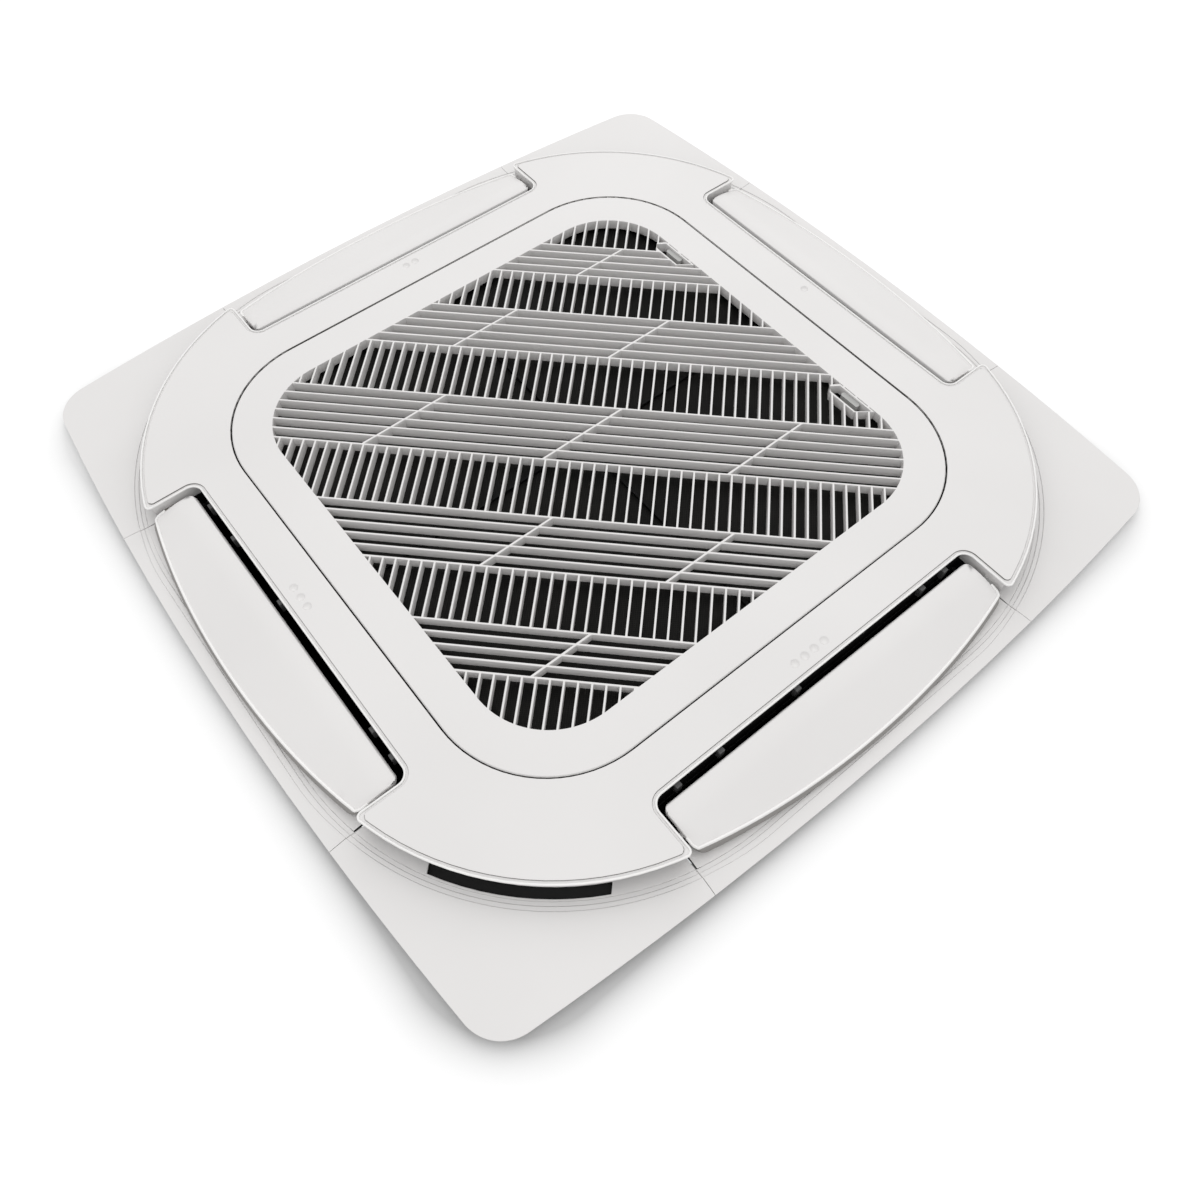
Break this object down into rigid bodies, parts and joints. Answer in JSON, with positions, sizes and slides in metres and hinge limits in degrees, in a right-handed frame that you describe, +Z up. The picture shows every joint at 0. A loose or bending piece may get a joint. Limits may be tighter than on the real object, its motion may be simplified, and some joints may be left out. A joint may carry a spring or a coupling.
{
  "type": "ceiling cassette air conditioner",
  "caption": "Square ceiling cassette indoor unit with a curved panel, banded intake grille, swinging air vanes, fan, ring coil, drain pan and hanger brackets.",
  "frame": {"origin": "centre of the four hanger bolt slots, on the underside of the hanger brackets", "axes": "+Z up as the unit hangs; the grille faces -Z, its hinge is on the +Y side, its latches on the -Y side, and the pipes leave at -X"},
  "size_m": [0.95, 0.95, 0.282],
  "materials": {
    "panel_plastic": "satin off-white",
    "latch_plastic": "satin grey",
    "black_mesh": "fine woven mesh",
    "filter_plastic": "matte black",
    "steel_sheet": "galvanised sheet",
    "steel_bright": "zinc plated",
    "foam_dark": "black expanded foam",
    "frame_plastic": "matte black",
    "foam_grey": "soft foam",
    "fin_aluminium": "fine fins",
    "copper": "drawn copper",
    "brass": "machined",
    "fan_plastic": "glass-filled",
    "motor_metal": "cast and painted",
    "rubber_black": "matte",
    "board_green": "circuit board",
    "part_cream": "moulded"
  },
  "bodies": {
    "unit": {"panel_base": "panel_plastic", "outlet_liners": "panel_plastic", "well_frame": "frame_plastic", "panel_deck": "panel_plastic", "grille_hinge_pins": "steel_bright", "vane_bushes": "latch_plastic", "sealing_gaskets": "foam_grey", "panel_screws": "steel_bright", "panel_fixing_plates": "steel_bright", "cabinet_shell": "steel_sheet", "insulation_liner": "foam_dark", "fan_motor": "motor_metal", "motor_mounts": "rubber_black", "bell_mouth": "fan_plastic", "coil_fins": "fin_aluminium", "coil_end_plates": "steel_bright", "coil_bends": "copper", "drain_pan": "foam_dark", "drain_plug": "rubber_black", "drain_pump": "part_cream", "float_stem": "part_cream", "drain_socket": "part_cream", "gas_pipe": "copper", "liquid_pipe": "copper", "flare_nuts": "brass", "pipe_plate": "steel_sheet", "pipe_grommets": "rubber_black", "control_box": "steel_sheet", "control_box_cover": "steel_sheet", "circuit_board": "board_green", "terminal_block": "part_cream", "fan_capacitor": "part_cream", "thermistor": "rubber_black", "corner_cover_1": "panel_plastic", "vane_motor_1": "part_cream", "hanger_bracket_1": "steel_bright", "corner_cover_2": "panel_plastic", "vane_motor_2": "part_cream", "hanger_bracket_2": "steel_bright", "corner_cover_3": "panel_plastic", "vane_motor_3": "part_cream", "hanger_bracket_3": "steel_bright", "corner_cover_4": "panel_plastic", "vane_motor_4": "part_cream", "hanger_bracket_4": "steel_bright"},
    "grille": {"intake_grille": "panel_plastic", "filter_frame": "filter_plastic", "filter_mesh": "black_mesh"},
    "latch_1": {"grille_latch_1": "latch_plastic"},
    "latch_2": {"grille_latch_2": "latch_plastic"},
    "fan": {"fan_shaft": "steel_bright", "turbo_fan": "fan_plastic", "fan_nut": "steel_bright"},
    "float": {"float_ring": "part_cream"},
    "vane_1": {"vane_1": "panel_plastic"},
    "vane_2": {"vane_2": "panel_plastic"},
    "vane_3": {"vane_3": "panel_plastic"},
    "vane_4": {"vane_4": "panel_plastic"}
  },
  "joints": [
    {"name": "vane_1_swing", "type": "hinge", "parent": "unit", "child": "vane_1", "pos_m": [0, -0.415, -0.1615], "axis": [1, 0, 0], "range_deg": [0, 60]},
    {"name": "vane_2_swing", "type": "hinge", "parent": "unit", "child": "vane_2", "pos_m": [-0.415, 0, -0.1615], "axis": [0, -1, 0], "range_deg": [0, 60]},
    {"name": "vane_3_swing", "type": "hinge", "parent": "unit", "child": "vane_3", "pos_m": [0, 0.415, -0.1615], "axis": [-1, 0, 0], "range_deg": [0, 60]},
    {"name": "vane_4_swing", "type": "hinge", "parent": "unit", "child": "vane_4", "pos_m": [0.415, 0, -0.1615], "axis": [0, 1, 0], "range_deg": [0, 60]},
    {"name": "grille_swing", "type": "hinge", "parent": "unit", "child": "grille", "pos_m": [0, 0.3357, -0.175], "axis": [1, 0, 0], "range_deg": [0, 80]},
    {"name": "latch_1_slide", "type": "slide", "parent": "grille", "child": "latch_1", "axis": [0, 1, 0], "range_m": [0, 0.006], "stiffness_N_per_m": 60},
    {"name": "latch_2_slide", "type": "slide", "parent": "grille", "child": "latch_2", "axis": [0, 1, 0], "range_m": [0, 0.006], "stiffness_N_per_m": 60},
    {"name": "fan_spin", "type": "hinge", "parent": "unit", "child": "fan", "pos_m": [0, 0, 0], "axis": [0, 0, 1], "continuous": true},
    {"name": "float_lift", "type": "slide", "parent": "unit", "child": "float", "axis": [0, 0, 1], "range_m": [0, 0.012]}
  ]
}
